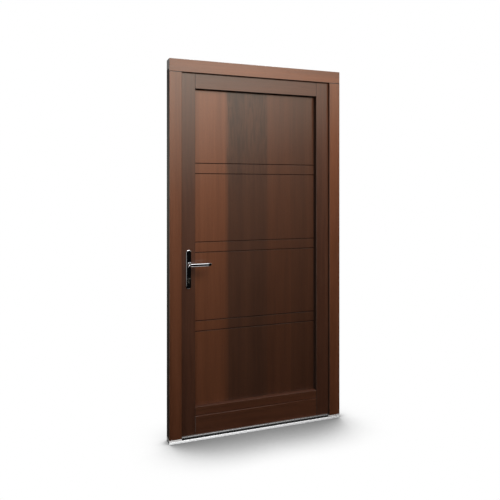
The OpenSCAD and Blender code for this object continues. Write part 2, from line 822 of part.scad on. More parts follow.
// Folded steel box, open where bolts, rods, hub, cylinder and screws pass
module lock_case() {
    color(steel) lock_side() difference() {
        block([case_x - case_d, case_x], [lock_y - case_t / 2, lock_y + case_t / 2], case_z);
        block([case_x - case_d + case_wall, case_x - case_wall],
              [lock_y - case_t / 2 + case_wall, lock_y + case_t / 2 - case_wall],
              [case_z[0] + case_wall, case_z[1] - case_wall]);
        bolt_windows(case_x - case_wall - e, case_x + e);
        block([rod_x - rod_t - rod_gap, rod_x + rod_gap],
              [lock_y - rod_w / 2 - slide_clear, lock_y + rod_w / 2 + slide_clear],
              [case_z[0] - e, case_z[0] + case_wall + e]);
        block([rod_x - rod_t - rod_gap, rod_x + rod_gap],
              [lock_y - rod_w / 2 - slide_clear, lock_y + rod_w / 2 + slide_clear],
              [case_z[1] - case_wall - e, case_z[1] + e]);
        bar_y(lock_x, [lock_y - case_t, lock_y + case_t], lever_z, hub_boss_r + run_clear);
        run_y([lock_y - case_t, lock_y + case_t]) barrel_outline(slide_clear);
        for (z = plate_screw_z)
            bar_y(lock_x, [lock_y - case_t, lock_y + case_t], z, plate_screw_r + 1);
        bar_x([case_x - case_wall - e, case_x + e], lock_y, bridge_z, plate_screw_r + seat_clear);
    }
}

// Turning part of the handle inside the case, with an arm that draws the latch
module lock_hub() {
    color(steel) lock_side() difference() {
        union() {
            bar_y(lock_x, [lock_y - case_t / 2, lock_y + case_t / 2], lever_z, hub_boss_r);
            bar_y(lock_x, [lock_y - hub_half, lock_y + hub_half], lever_z, hub_r);
            block([lock_x - arm_w / 2, lock_x + arm_w / 2], [lock_y - arm_half, lock_y + arm_half],
                  [lever_z, lever_z + arm_top]);
        }
        square_hole = spindle_w / 2 + seat_clear;
        block([lock_x - square_hole, lock_x + square_hole], [lock_y - case_t, lock_y + case_t],
              [lever_z - square_hole, lever_z + square_hole]);
    }
}

module latch_bolt() {
    tip = leaf_x + latch_throw;
    heel = leaf_x - latch_l;
    half = bolt_t / 2;
    hook_x = lock_x - arm_w / 2 - hook_gap;
    tail_y = [lock_y - bolt_tail_half, lock_y + bolt_tail_half];
    tail_z = [latch_z - latch_tail_half, latch_z + latch_tail_half];
    color(steel) lock_side() {
        difference() {
            block([heel, tip], [lock_y - half, lock_y + half],
                  [latch_z - latch_h / 2, latch_z + latch_h / 2]);
            // the bevel faces the outside, where the strike's edge meets it
            translate([0, 0, latch_z - latch_h / 2 - e]) linear_extrude(latch_h + 2 * e)
                polygon([[leaf_x + 1, lock_y - half - e], [leaf_x + 1, lock_y - half],
                         [tip, lock_y + half - latch_nose], [tip + e, lock_y + half - latch_nose],
                         [tip + e, lock_y - half - e]]);
        }
        block([hook_x - latch_hook_t, heel], tail_y, tail_z);
        block([hook_x - latch_hook_t, hook_x], tail_y, [latch_z - latch_hook_drop, tail_z[0]]);
    }
}

module dead_bolt() {
    heel = leaf_x - dead_l;
    color(steel) lock_side() {
        block([heel, leaf_x], [lock_y - bolt_t / 2, lock_y + bolt_t / 2],
              [dead_z - dead_h / 2, dead_z + dead_h / 2]);
        block([heel - dead_tail_l, heel], [lock_y - bolt_tail_half, lock_y + bolt_tail_half],
              [dead_z - dead_tail_half, dead_z + dead_tail_half]);
    }
}

// ---------- Drive rods and pin bolts ----------

// Outside of a pin bolt case: i is 0 for the lower one, which is the upper one turned over
module pin_case_blank(i, grow) {
    block([case_x - pin_case_d - grow, case_x], [pin_case_y[0] - grow, pin_case_y[1] + grow],
          [pin_case_z[i][0] - grow, pin_case_z[i][1] + grow]);
}

module pin_bolt_cases() {
    color(steel) lock_side() for (i = [0, 1]) difference() {
        pin_case_blank(i, 0);
        pin_case_blank_inside(i);
        bar_x([case_x - case_wall - e, case_x + e], lock_y, pin_z[i], pin_bolt_r + run_clear);
        block([rod_x - rod_t - rod_gap, rod_x + rod_gap],
              [lock_y - rod_w / 2 - slide_clear, lock_y + rod_w / 2 + slide_clear],
              i == 0 ? [pin_z[0], pin_z[0] + pin_case_below + e]
                     : [pin_z[1] - pin_case_below - e, pin_z[1]]);
    }
}

module pin_case_blank_inside(i) {
    block([case_x - pin_case_d + case_wall, case_x - case_wall],
          [pin_case_y[0] + case_wall, pin_case_y[1] - case_wall],
          [pin_case_z[i][0] + case_wall, pin_case_z[i][1] - case_wall]);
}

// Rod of the upper pin bolt, drawn about z = 0 at the bolt: s is -1 for the lower rod.
// As the rod moves away from the lock, its slanting slot pushes the cross pin outwards.
module drive_rod(s, bolt_z, end_z, slots) {
    ramp_x = [cross_x - ramp_lead, rod_x];
    ramp_z = [-bolt_throw - ramp_below, ramp_above];
    bracket_z = [ramp_z[0] - bracket_h, ramp_z[0]];
    color(steel) lock_side() translate([0, 0, bolt_z]) mirror([0, 0, s < 0 ? 1 : 0])
        difference() {
            union() {
                block([rod_x - rod_t, rod_x], [lock_y - rod_w / 2, lock_y + rod_w / 2],
                      [-abs(bolt_z - end_z), bracket_z[1]]);
                block([ramp_x[0], rod_x], [lock_y - rod_w / 2, ramp_y[1]], bracket_z);
                block(ramp_x, ramp_y, [bracket_z[0], ramp_z[1]]);
            }
            // the slant runs one step out for each step back, so both travel alike
            run_y([ramp_y[0] - e, ramp_y[1] + e]) translate([cross_x, 0]) rotate(-45) {
                slant = bolt_throw * sqrt(2);
                slot_r = cross_r + cross_clear;
                translate([0, -slot_r]) square([slant, 2 * slot_r]);
                for (u = [0, slant]) translate([u, 0]) circle(r = slot_r);
            }
            // slots that let the rod pass the faceplate's screws over its whole travel
            for (z = slots)
                block([rod_x - rod_t - e, rod_x + e],
                      [lock_y - screw_slot_w / 2, lock_y + screw_slot_w / 2],
                      [-abs(bolt_z - z) - bolt_throw - screw_slot_w / 2,
                       -abs(bolt_z - z) + screw_slot_w / 2]);
        }
}

module drive_rod_upper() {
    drive_rod(1, pin_z[1], latch_z + latch_h / 2 + rod_past, upper_slots);
}

module drive_rod_lower() {
    drive_rod(-1, pin_z[0], bridge_z - rod_below, lower_slots);
}

// Round bolt with the cross pin that runs in the rod's slot
module pin_bolt(z) {
    color(steel) lock_side() {
        bar_x([leaf_x - pin_bolt_l, leaf_x], lock_y, z, pin_bolt_r);
        bar_y(cross_x, [lock_y, ramp_y[1]], z, cross_r);
    }
}

// ---------- Key cylinder ----------

// Outline of the cylinder in x and z: a round barrel on a narrow stem
module barrel_outline(grow) {
    translate([lock_x, cylinder_z]) circle(r = barrel_r + grow);
    translate([lock_x - barrel_stem_w / 2 - grow, cylinder_z - barrel_foot])
        square([barrel_stem_w + 2 * grow, barrel_foot]);
    translate([lock_x, cylinder_z - barrel_foot]) circle(r = barrel_stem_w / 2 + grow);
}

module cylinder_body() {
    gap = cam_w / 2 + plug_slot;
    color(brass) lock_side() difference() {
        run_y(cylinder_y) barrel_outline(0);
        bar_y(lock_x, [cylinder_y[0] - e, cylinder_y[1] + e], cylinder_z, plug_r + run_clear);
        block([lock_x - barrel_r - e, lock_x + barrel_r + e], [lock_y - gap, lock_y + gap],
              [cylinder_z - cam_reach - 0.5, cylinder_z + barrel_r + e]);
        bar_x([lock_x - barrel_r, lock_x + barrel_r], lock_y, bridge_z,
              plate_screw_r + seat_clear);
    }
}

module cylinder_screw() {
    color(steel) lock_side()
        bar_x([lock_x - 4, leaf_x - 0.5], lock_y, bridge_z, plate_screw_r);
}

// Plug with its keyway, open at the end that y_key names
module plug(y, y_key) {
    color(brass) lock_side() difference() {
        bar_y(lock_x, y, cylinder_z, plug_r);
        block([lock_x - keyway_half, lock_x + keyway_half], y_key, keyway_z);
    }
}

module outer_plug() {
    plug([cylinder_y[0], lock_y - cam_w / 2], [cylinder_y[0] - e, cylinder_y[0] + keyway_l]);
}

module inner_plug() {
    plug([lock_y + cam_w / 2, cylinder_y[1]], [cylinder_y[1] - keyway_l, cylinder_y[1] + e]);
}

module cylinder_cam() {
    color(steel) lock_side() {
        bar_y(lock_x, [lock_y - cam_w / 2, lock_y + cam_w / 2], cylinder_z, cam_r);
        intersection() {
            block([lock_x - cam_half, lock_x + cam_half], [lock_y - cam_w / 2, lock_y + cam_w / 2],
                  [cylinder_z - cam_reach, cylinder_z]);
            bar_y(lock_x, [lock_y - cam_w / 2, lock_y + cam_w / 2], cylinder_z, cam_reach);
        }
    }
}

// ---------- Handle ----------

// Outline of a plate in x and z, with round corners, drawn in by the given inset
module plate_outline(inset) {
    r = plate_corner - inset;
    half = [plate_w / 2 - plate_corner, (plate_z[1] - plate_z[0]) / 2 - plate_corner];
    hull() for (i = [-1, 1], k = [-1, 1])
        translate([i * half[0], k * half[1]]) circle(r = r, $fn = 32);
}

// Back plate lying on y = 0 and rising to y = -plate_t, with a bevelled rim
module backplate_blank() {
    translate([lock_x, 0, (plate_z[0] + plate_z[1]) / 2]) hull() {
        run_y([plate_bevel - plate_t, 0]) plate_outline(0);
        run_y([-plate_t, 0]) plate_outline(plate_bevel);
    }
}

module outer_backplate() {
    color(chrome) lock_side() difference() {
        translate([0, leaf_y, 0]) backplate_blank();
        bar_y(lock_x, [leaf_y - plate_t - e, leaf_y + e], lever_z, neck_r + run_clear);
        run_y([leaf_y - plate_t - e, leaf_y + e]) barrel_outline(slide_clear);
        for (z = plate_screw_z)
            bar_y(lock_x, [leaf_y - plate_t + plate_skin, leaf_y + e], z, plate_screw_r + run_clear);
    }
}

module inner_backplate() {
    color(chrome) lock_side() difference() {
        translate([0, back_y, 0]) mirror([0, 1, 0]) backplate_blank();
        bar_y(lock_x, [back_y - e, back_y + plate_t + e], lever_z, neck_r + run_clear);
        run_y([back_y - e, back_y + plate_t + e]) barrel_outline(slide_clear);
        for (z = plate_screw_z)
            screw_y(lock_x, back_y + plate_t, z, plate_screw_r + seat_clear, plate_t + e);
    }
}

module plate_screws() {
    color(steel) lock_side() for (z = plate_screw_z)
        screw_y(lock_x, back_y + plate_t, z, plate_screw_r, plate_screw_l);
}

// Bend of a round bar, starting on +x and turning about z
module bend(bend_r, turn) {
    rotate_extrude(angle = turn) translate([bend_r, 0]) circle(r = grip_r + bend_extra);
}

// Lever of round bar with its axis at x = 0, z = 0, its plate on y = 0 and its grip running
// towards -x: neck, collar, elbow, grip, and a tip that bends towards the door.
module lever() {
    socket = spindle_w / 2 + seat_clear;
    grip_y = grip_r - lever_out;
    elbow_y = grip_y + elbow_r;
    tip_x = lever_reach - grip_r - tip_bend_r * sin(tip_turn);
    collar_y = -plate_t - 1;
    difference() {
        union() {
            bar_y(0, [elbow_y - bar_lap, 0], 0, neck_r);
            translate([0, collar_y, 0]) rotate([90, 0, 0])
                cylinder(r1 = collar_r, r2 = neck_r + 0.5, h = collar_y - elbow_y + bar_lap);
            translate([-elbow_r, elbow_y, 0]) rotate([0, 0, -90]) bend(elbow_r, 90);
            bar_x([-tip_x - bar_lap, bar_lap - elbow_r], grip_y, 0, grip_r);
            translate([-tip_x, grip_y + tip_bend_r, 0]) rotate([0, 0, -90 - tip_turn]) {
                bend(tip_bend_r, tip_turn);
                translate([tip_bend_r, bar_lap, 0]) rotate([90, 0, 0])
                    cylinder(r1 = grip_r, r2 = grip_r - tip_drop, h = tip_cap);
            }
        }
        block([-socket, socket], [-spindle_in - seat_clear, e], [-socket, socket]);
    }
}

module outer_lever() {
    color(chrome) lock_side() translate([lock_x, leaf_y, lever_z]) lever();
}

module inner_lever() {
    color(chrome) lock_side() translate([lock_x, back_y, lever_z]) mirror([0, 1, 0]) lever();
}

module spindle() {
    half = spindle_w / 2;
    color(steel) lock_side() block([lock_x - half, lock_x + half],
                                   [leaf_y - spindle_in, back_y + spindle_in],
                                   [lever_z - half, lever_z + half]);
}

// ---------- One line for each node ----------

frame_jamb_left();
frame_jamb_right();
frame_head();
threshold();
threshold_core();
mirror([1, 0, 0]) end_block();  // end_block_left
end_block();  // end_block_right
mirror([1, 0, 0]) frame_seal_side();  // frame_seal_left
frame_seal_side();  // frame_seal_right
frame_seal_head();
main_strike();
pin_strikes();
strike_screws();
hinge_frame_part(hinge_z[0]);  // hinge_frame_part_lower
hinge_frame_part(hinge_z[1]);  // hinge_frame_part_middle
hinge_frame_part(hinge_z[2]);  // hinge_frame_part_upper
hinge_pins();
hinge_frame_screws();
lock_stile();
hinge_stile();
top_rail();
bottom_rail();
panel_outer_board();
panel_core();
panel_inner_board();
mirror([1, 0, 0]) bead_side();  // bead_left
bead_side();  // bead_right
bead_top();
bead_bottom();
drip_rail();
bottom_seal();
mirror([1, 0, 0]) leaf_seal_side();  // leaf_seal_left
leaf_seal_side();  // leaf_seal_right
leaf_seal_top();
hinge_leaf_part(hinge_z[0]);  // hinge_leaf_part_lower
hinge_leaf_part(hinge_z[1]);  // hinge_leaf_part_middle
hinge_leaf_part(hinge_z[2]);  // hinge_leaf_part_upper
hinge_leaf_screws();
lock_faceplate();
faceplate_screws();
lock_case();
pin_bolt_cases();
outer_backplate();
inner_backplate();
plate_screws();
cylinder_body();
cylinder_screw();
outer_lever();
inner_lever();
spindle();
lock_hub();
latch_bolt();
outer_plug();
inner_plug();
cylinder_cam();
dead_bolt();
drive_rod_upper();
drive_rod_lower();
pin_bolt(pin_z[1]);  // pin_bolt_upper
pin_bolt(pin_z[0]);  // pin_bolt_lower
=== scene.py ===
import json
import math

import bmesh
import bpy
import numpy as np
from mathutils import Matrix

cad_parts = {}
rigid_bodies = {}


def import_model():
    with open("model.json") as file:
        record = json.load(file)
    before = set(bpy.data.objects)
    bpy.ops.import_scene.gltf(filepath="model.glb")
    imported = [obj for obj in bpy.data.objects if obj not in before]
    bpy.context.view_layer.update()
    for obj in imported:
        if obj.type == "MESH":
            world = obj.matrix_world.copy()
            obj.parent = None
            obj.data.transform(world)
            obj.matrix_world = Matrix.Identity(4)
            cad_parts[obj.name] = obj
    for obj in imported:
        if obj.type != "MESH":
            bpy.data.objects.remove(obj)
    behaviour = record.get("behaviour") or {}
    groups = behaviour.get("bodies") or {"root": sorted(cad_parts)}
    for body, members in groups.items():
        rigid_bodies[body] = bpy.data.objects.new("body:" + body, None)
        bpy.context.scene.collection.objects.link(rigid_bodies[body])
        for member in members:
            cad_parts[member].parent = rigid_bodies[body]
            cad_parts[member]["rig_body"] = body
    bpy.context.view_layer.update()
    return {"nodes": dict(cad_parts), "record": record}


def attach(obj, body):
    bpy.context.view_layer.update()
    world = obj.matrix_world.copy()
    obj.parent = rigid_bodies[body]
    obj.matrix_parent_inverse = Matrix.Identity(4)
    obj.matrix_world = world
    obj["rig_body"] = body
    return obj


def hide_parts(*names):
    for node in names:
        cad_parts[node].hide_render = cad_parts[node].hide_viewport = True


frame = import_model()
scene = bpy.context.scene

# ---------- Studio ----------
# A level camera a little left of the door, a white backdrop, a sky that is bright overhead and
# dark below eye height, three lamps, and a glowing floor of white paper with a painted shadow.

camera_data = bpy.data.cameras.new("camera")
camera_data.lens = 40.32
camera_data.sensor_width = 36
camera_data.shift_y = -0.1198
camera = bpy.data.objects.new("camera", camera_data)
camera.location = (-1.2490, -3.1710, 1.4486)
camera.rotation_euler = (math.pi / 2, 0, -math.radians(20.76))
scene.collection.objects.link(camera)
scene.camera = camera
scene.view_settings.view_transform = "Standard"


def add(tree, kind, values=None, **settings):
    """A new node in a tree. values are its unlinked inputs by name or number, settings its own properties."""
    made = tree.nodes.new(kind)
    for key, value in settings.items():
        setattr(made, key, value)
    for key, value in (values or {}).items():
        made.inputs[key].default_value = value
    return made


def ramp(tree, source, stops):
    """A colour ramp over a value. stops are (position, grey value or colour)."""
    made = add(tree, "ShaderNodeValToRGB")
    points = made.color_ramp.elements
    while len(points) < len(stops):
        points.new(0.5)
    for point, (place, shade) in zip(points, stops):
        point.position = place
        point.color = (*((shade,) * 3 if isinstance(shade, float) else shade), 1)
    tree.links.new(source, made.inputs["Fac"])
    return made.outputs["Color"]


def math_node(tree, operation, a, b=0.0, clamp=False):
    """One step of arithmetic. a and b are sockets or plain numbers."""
    made = add(tree, "ShaderNodeMath", operation=operation, use_clamp=clamp)
    for socket, value in zip(made.inputs, (a, b)):
        if isinstance(value, (int, float)):
            socket.default_value = value
        else:
            tree.links.new(value, socket)
    return made.outputs[0]


def mix_colour(tree, factor, a, b, blend="MIX"):
    """Colours a and b mixed by factor. Each may be a socket, a number or a colour."""
    made = add(tree, "ShaderNodeMix", data_type="RGBA", blend_type=blend)
    for name, value in (("Factor", factor), ("A", a), ("B", b)):
        socket = [s for s in made.inputs if s.name == name and s.enabled][0]
        if isinstance(value, (int, float)):
            socket.default_value = value
        elif isinstance(value, tuple):
            socket.default_value = (*value, 1)
        else:
            tree.links.new(value, socket)
    return [s for s in made.outputs if s.enabled][0]


world = bpy.data.worlds.new("studio")
world.use_nodes = True
scene.world = world
world.cycles.sampling_method = "NONE"      # so that mirrored and soft light keep apart
sky = world.node_tree
sky.nodes.clear()
toward = add(sky, "ShaderNodeSeparateXYZ")
sky.links.new(add(sky, "ShaderNodeTexCoord").outputs["Generated"], toward.inputs[0])


def to_unit(tree, value):
    """A value between -1 and 1 brought to between 0 and 1."""
    return math_node(tree, "ADD", math_node(tree, "MULTIPLY", value, 0.5), 0.5)


# What lacquer and satin metal mirror: a warm band of light above eye height, a dark gap and a bright
# ceiling, all dimmer behind the door
sky_lean = 0.39      # how fast the sky's horizon climbs to the right
climb = math_node(sky, "MULTIPLY", toward.outputs["X"], sky_lean)
height = to_unit(sky, math_node(sky, "SUBTRACT", toward.outputs["Z"], climb))
mirrored = ramp(sky, height, [(0.0, 0.004), (0.41, 0.004), (0.45, (0.05, 0.045, 0.04)),
                              (0.475, (0.34, 0.32, 0.27)), (0.50, (0.55, 0.53, 0.45)),
                              (0.53, (0.92, 0.92, 0.80)), (0.56, (1.45, 1.48, 1.30)), (0.61, 0.95),
                              (0.65, 0.05), (0.72, 0.05), (0.78, 1.0)])
behind = add(sky, "ShaderNodeMapRange", {"From Min": -0.2, "From Max": 0.4, "To Min": 1.0, "To Max": 0.4})
sky.links.new(toward.outputs["Y"], behind.inputs["Value"])
mirrored = mix_colour(sky, 1.0, mirrored, behind.outputs[0], "MULTIPLY")

# What polished chrome mirrors: a dark room with a bright ceiling, a bright floor and a strip at the left
polished = ramp(sky, to_unit(sky, toward.outputs["Z"]),
                [(0.0, 0.9), (0.02, 0.7), (0.05, 0.14), (0.08, 0.002), (0.50, 0.002),
                 (0.60, 0.004), (0.91, 0.006), (0.95, 1.1), (1.0, 1.6)])
strip_x, strip_y = -0.95, 0.3      # where the strip stands, as seen from the door
leftward = math_node(sky, "MULTIPLY", toward.outputs["X"], strip_x)
leftward = math_node(sky, "ADD", leftward, math_node(sky, "MULTIPLY", toward.outputs["Y"], strip_y))
left_strip = ramp(sky, leftward, [(0.68, 0.0), (0.74, 0.25), (0.93, 0.25), (0.96, 1.8)])
polished = mix_colour(sky, 1.0, polished, left_strip, "LIGHTEN")

# What lights matt surfaces, and the choice between the three and the white backdrop
soft = ramp(sky, height, [(0.0, 0.01), (0.45, 0.02), (0.55, 0.145), (1.0, 0.145)])
path = add(sky, "ShaderNodeLightPath")
mirrored = mix_colour(sky, path.outputs["Is Singular Ray"], mirrored, polished)
dome = add(sky, "ShaderNodeBackground", {"Strength": 2.0})
sky.links.new(mix_colour(sky, path.outputs["Is Diffuse Ray"], mirrored, soft), dome.inputs["Color"])
backdrop = add(sky, "ShaderNodeBackground", {"Color": (1, 1, 1, 1), "Strength": 1.0})
choice = add(sky, "ShaderNodeMixShader")
sky.links.new(path.outputs["Is Camera Ray"], choice.inputs[0])
sky.links.new(dome.outputs[0], choice.inputs[1])
sky.links.new(backdrop.outputs[0], choice.inputs[2])
sky.links.new(choice.outputs[0], add(sky, "ShaderNodeOutputWorld").inputs["Surface"])


def softbox(name, place, aim, size, power, in_gloss):
    """A rectangular lamp at place that faces aim, unseen itself. in_gloss lets it show in shiny things."""
    lamp = bpy.data.lights.new(name, "AREA")
    lamp.shape = "RECTANGLE"
    lamp.size, lamp.size_y = size
    lamp.energy = power
    holder = bpy.data.objects.new(name, lamp)
    holder.location = place
    along = np.array(aim, float) - np.array(place, float)
    flat = math.hypot(along[0], along[1])
    holder.rotation_euler = (math.atan2(flat, -along[2]), 0, math.atan2(-along[0], along[1]))
    holder.visible_camera = False
    holder.visible_glossy = in_gloss
    scene.collection.objects.link(holder)
    return holder


softbox("upper_softbox", (0.1, -1.5, 2.4), (0, 0, 2.05), (1.6, 1.0), power=36, in_gloss=False)
softbox("back_softbox", (0.4, 2.4, 2.6), (0, 0, 1.1), (1.8, 1.2), power=60, in_gloss=True)

# A low strip that lights only the metal and plastic at the foot of the door
low_strip = softbox("low_strip", (-0.4, -1.2, 0.06), (0, 0, 0.02), (2.2, 0.06), power=26, in_gloss=False)
foot = bpy.data.collections.new("foot")
low_strip.light_linking.receiver_collection = foot

# Floor: a flat grid of square tiles, point(u, v) = (u, v, 0)
half_floor, tiles = 30.0, 8
row = tiles + 1
u, v = np.meshgrid(np.linspace(-half_floor, half_floor, row), np.linspace(-half_floor, half_floor, row),
                   indexing="ij")
floor_points = np.stack([u, v, 0 * u], axis=-1).reshape(-1, 3)
corner = (np.arange(tiles)[:, None] * row + np.arange(tiles)).ravel()
floor_faces = np.stack([corner, corner + row, corner + row + 1, corner + 1], axis=1)
floor_mesh = bpy.data.meshes.new("floor")
floor_mesh.from_pydata(floor_points.tolist(), [], floor_faces.tolist())
floor = bpy.data.objects.new("floor", floor_mesh)
scene.collection.objects.link(floor)
floor.visible_glossy = False
floor.visible_diffuse = False

# White paper that glows, with a painted shadow: it darkens near the door, more in front of it than behind
paper = bpy.data.materials.new("white_paper")
paper.use_nodes = True
paper_tree = paper.node_tree
paper_tree.nodes.clear()
leaning = add(paper_tree, "ShaderNodeCombineXYZ", {"X": -0.03, "Y": 0.26, "Z": 0.95})
nearness = add(paper_tree, "ShaderNodeAmbientOcclusion", {"Distance": 0.52}, samples=24)
paper_tree.links.new(leaning.outputs[0], nearness.inputs["Normal"])
paper_shader = add(paper_tree, "ShaderNodeEmission")
painted_floor_shadow = ramp(paper_tree, nearness.outputs["AO"],
                   [(0.34, 0.20), (0.48, 0.26), (0.64, 0.46), (0.80, 0.82), (0.92, 1.0)])
paper_tree.links.new(painted_floor_shadow, paper_shader.inputs["Color"])
paper_tree.links.new(paper_shader.outputs[0], add(paper_tree, "ShaderNodeOutputMaterial").inputs[0])
floor_mesh.materials.append(paper)

# ---------- Timber of the frame ----------
# Two upright jambs and a head that runs over them, planed from a dark reddish hardwood, eased
# along every arris and sprayed with semi-gloss lacquer. The faces against the wall stay dark.

slot_of = {part["node"]: part["material_slot"] for part in frame["record"]["subparts"]}


def group(name, sockets_in, sockets_out):
    """A shader node group with its two ends. Sockets are (name, kind, default)."""
    tree = bpy.data.node_groups.new(name, "ShaderNodeTree")
    for label, kind, value in sockets_in:
        socket = tree.interface.new_socket(name=label, in_out="INPUT", socket_type=kind)
        if value is not None:
            socket.default_value = value
    for label, kind in sockets_out:
        tree.interface.new_socket(name=label, in_out="OUTPUT", socket_type=kind)
    return tree, add(tree, "NodeGroupInput"), add(tree, "NodeGroupOutput")


def stretched_noise(tree, vector, stretch, values):
    """Noise over coordinates that are scaled per axis, so that its spots run along the grain."""
    scaled = add(tree, "ShaderNodeVectorMath", operation="MULTIPLY")
    tree.links.new(vector, scaled.inputs[0])
    scaled.inputs[1].default_value = stretch
    noise = add(tree, "ShaderNodeTexNoise", values)
    tree.links.new(scaled.outputs[0], noise.inputs["Vector"])
    return noise.outputs[0]


# Grain of sawn timber with its length along z: wide bands, cathedral lines, fibres and pores
timber_grain, grain_in, grain_out = group(
    "timber_grain",
    [("Vector", "NodeSocketVector", None), ("Wander", "NodeSocketFloat", 0.05)],
    [("Bands", "NodeSocketFloat"), ("Lines", "NodeSocketFloat"), ("Fibres", "NodeSocketFloat"),
     ("Pores", "NodeSocketFloat")])
grain_vector = grain_in.outputs["Vector"]
sway = stretched_noise(timber_grain, grain_vector, (2.0, 2.0, 1.1), {"Scale": 1.0, "Detail": 3.0})
sway = math_node(timber_grain, "MULTIPLY", math_node(timber_grain, "SUBTRACT", sway, 0.5),
                 grain_in.outputs["Wander"])
moved = add(timber_grain, "ShaderNodeCombineXYZ")
timber_grain.links.new(sway, moved.inputs["X"])
bent = add(timber_grain, "ShaderNodeVectorMath", operation="ADD")
timber_grain.links.new(grain_vector, bent.inputs[0])
timber_grain.links.new(moved.outputs[0], bent.inputs[1])
bands = stretched_noise(timber_grain, bent.outputs[0], (1.0, 1.0, 0.025),
                        {"Scale": 22.0, "Detail": 4.0, "Roughness": 0.55})
lines = stretched_noise(timber_grain, bent.outputs[0], (1.0, 1.0, 0.03),
                        {"Scale": 130.0, "Detail": 3.0, "Roughness": 0.6, "Distortion": 0.3})
fibres = stretched_noise(timber_grain, bent.outputs[0], (1.0, 1.0, 0.012),
                         {"Scale": 900.0, "Detail": 2.0})
pores = stretched_noise(timber_grain, grain_vector, (1.0, 1.0, 0.06), {"Scale": 1100.0, "Detail": 1.0})
pore_level, pore_contrast = 0.64, 9.0
pores = math_node(timber_grain, "SUBTRACT", pores, pore_level, clamp=True)
pores = math_node(timber_grain, "MULTIPLY", pores, pore_contrast, clamp=True)
for label, value in (("Bands", bands), ("Lines", lines), ("Fibres", fibres), ("Pores", pores)):
    timber_grain.links.new(value, grain_out.inputs[label])


def material(name, **plain):
    """A node material with one Principled BSDF, whose plain sockets take the values given."""
    made = bpy.data.materials.new(name)
    made.use_nodes = True
    shader = made.node_tree.nodes["Principled BSDF"]
    for key, value in plain.items():
        shader.inputs[key.replace("_", " ").title().replace("Ior", "IOR")].default_value = value
    return made, made.node_tree, shader


def place_of(tree, turn=(0, 0, 0), shift=(0, 0, 0)):
    """The surface's place on its piece, turned and shifted."""
    mapping = add(tree, "ShaderNodeMapping", {"Rotation": turn, "Location": shift})
    tree.links.new(add(tree, "ShaderNodeTexCoord").outputs["Object"], mapping.inputs["Vector"])
    return mapping.outputs[0]


def raise_by(tree, shader, height_of, strength, distance):
    """A bump from a height between 0 and 1, into the shader's normal."""
    bump = add(tree, "ShaderNodeBump", {"Strength": strength, "Distance": distance})
    tree.links.new(height_of, bump.inputs["Height"])
    tree.links.new(bump.outputs[0], shader.inputs["Normal"])


upright, level = (0, 0, 0), (0, math.pi / 2, 0)      # how far the grain is turned from upright
band_share, streak_share, pore_share, pore_depth = 0.72, 0.6, 0.6, 0.4


def timber(name, turn, shift, tones, leaf=None):
    """Lacquered timber. tones are dark, middle and light. leaf moves the grain and gives a tint."""
    made, tree, shader = material(name, coat_weight=0.9, coat_roughness=0.11)
    vector = place_of(tree, turn, shift)
    if leaf:
        vector, tint = leaf(tree, vector)
    grain = add(tree, "ShaderNodeGroup", node_tree=timber_grain)
    tree.links.new(vector, grain.inputs["Vector"])
    tone = math_node(tree, "ADD", math_node(tree, "MULTIPLY", grain.outputs["Bands"], band_share),
                     math_node(tree, "MULTIPLY", grain.outputs["Lines"], 1 - band_share))
    colour = ramp(tree, tone, list(zip((0.34, 0.50, 0.66), tones)))
    streak = ramp(tree, grain.outputs["Fibres"], [(0.30, 0.86), (0.70, 1.08)])
    colour = mix_colour(tree, streak_share, colour, streak, "MULTIPLY")
    pore = math_node(tree, "MULTIPLY", grain.outputs["Pores"], pore_share)
    colour = mix_colour(tree, pore, colour, tuple(pore_depth * part for part in tones[0]))
    if leaf:
        colour = mix_colour(tree, 1.0, colour, tint, "MULTIPLY")
    tree.links.new(ramp(tree, grain.outputs["Lines"], [(0.3, 0.30), (0.7, 0.40)]),
                   shader.inputs["Roughness"])
    surface = math_node(tree, "SUBTRACT", grain.outputs["Fibres"], grain.outputs["Pores"])
    raise_by(tree, shader, surface, strength=0.22, distance=0.0004)
    return made, tree, shader, colour


def where(tree, axis, test, limit, either_side=False):
    """1 where the place along an axis is past (GREATER_THAN) or short of (LESS_THAN) a limit, else 0.
    either_side takes the distance from the middle, whichever way."""
    parts = add(tree, "ShaderNodeSeparateXYZ")
    tree.links.new(add(tree, "ShaderNodeTexCoord").outputs["Object"], parts.inputs[0])
    along = parts.outputs[axis]
    if either_side:
        along = math_node(tree, "ABSOLUTE", along)
    return math_node(tree, test, along, limit)


frame_tones = ((0.108, 0.034, 0.0135), (0.142, 0.0455, 0.0180), (0.176, 0.058, 0.024))
# Near-black for painted shade on reveals, undersides and where the panel meets its frame, and for dark joint
# lines
dark_joint_and_painted_shade = (0.0050, 0.0030, 0.0024)
wall_face = 0.5496                       # just inside the faces that stand against the wall
lip_edge, head_joint = 0.477, 2.127      # inner edge of the jambs, and where the head sits on them
arris, joint_line, fit = 0.0014, 0.0024, 0.0005

jamb_timber, tree, shader, colour = timber("jamb_timber", upright, (0.3, 0, 0), frame_tones)
# Painted shade on the jambs' inner reveals, then a dark joint line where the head sits on them
colour = mix_colour(tree, where(tree, "X", "LESS_THAN", lip_edge + arris, True), colour, dark_joint_and_painted_shade)
colour = mix_colour(tree, where(tree, "Z", "GREATER_THAN", head_joint - joint_line), colour, dark_joint_and_painted_shade)
tree.links.new(colour, shader.inputs["Base Color"])

head_timber, tree, shader, colour = timber("head_timber", level, (0, 0, 0.4), frame_tones)
# Painted shade on the head's underside
colour = mix_colour(tree, where(tree, "Z", "LESS_THAN", head_joint + arris), colour, dark_joint_and_painted_shade)
tree.links.new(colour, shader.inputs["Base Color"])

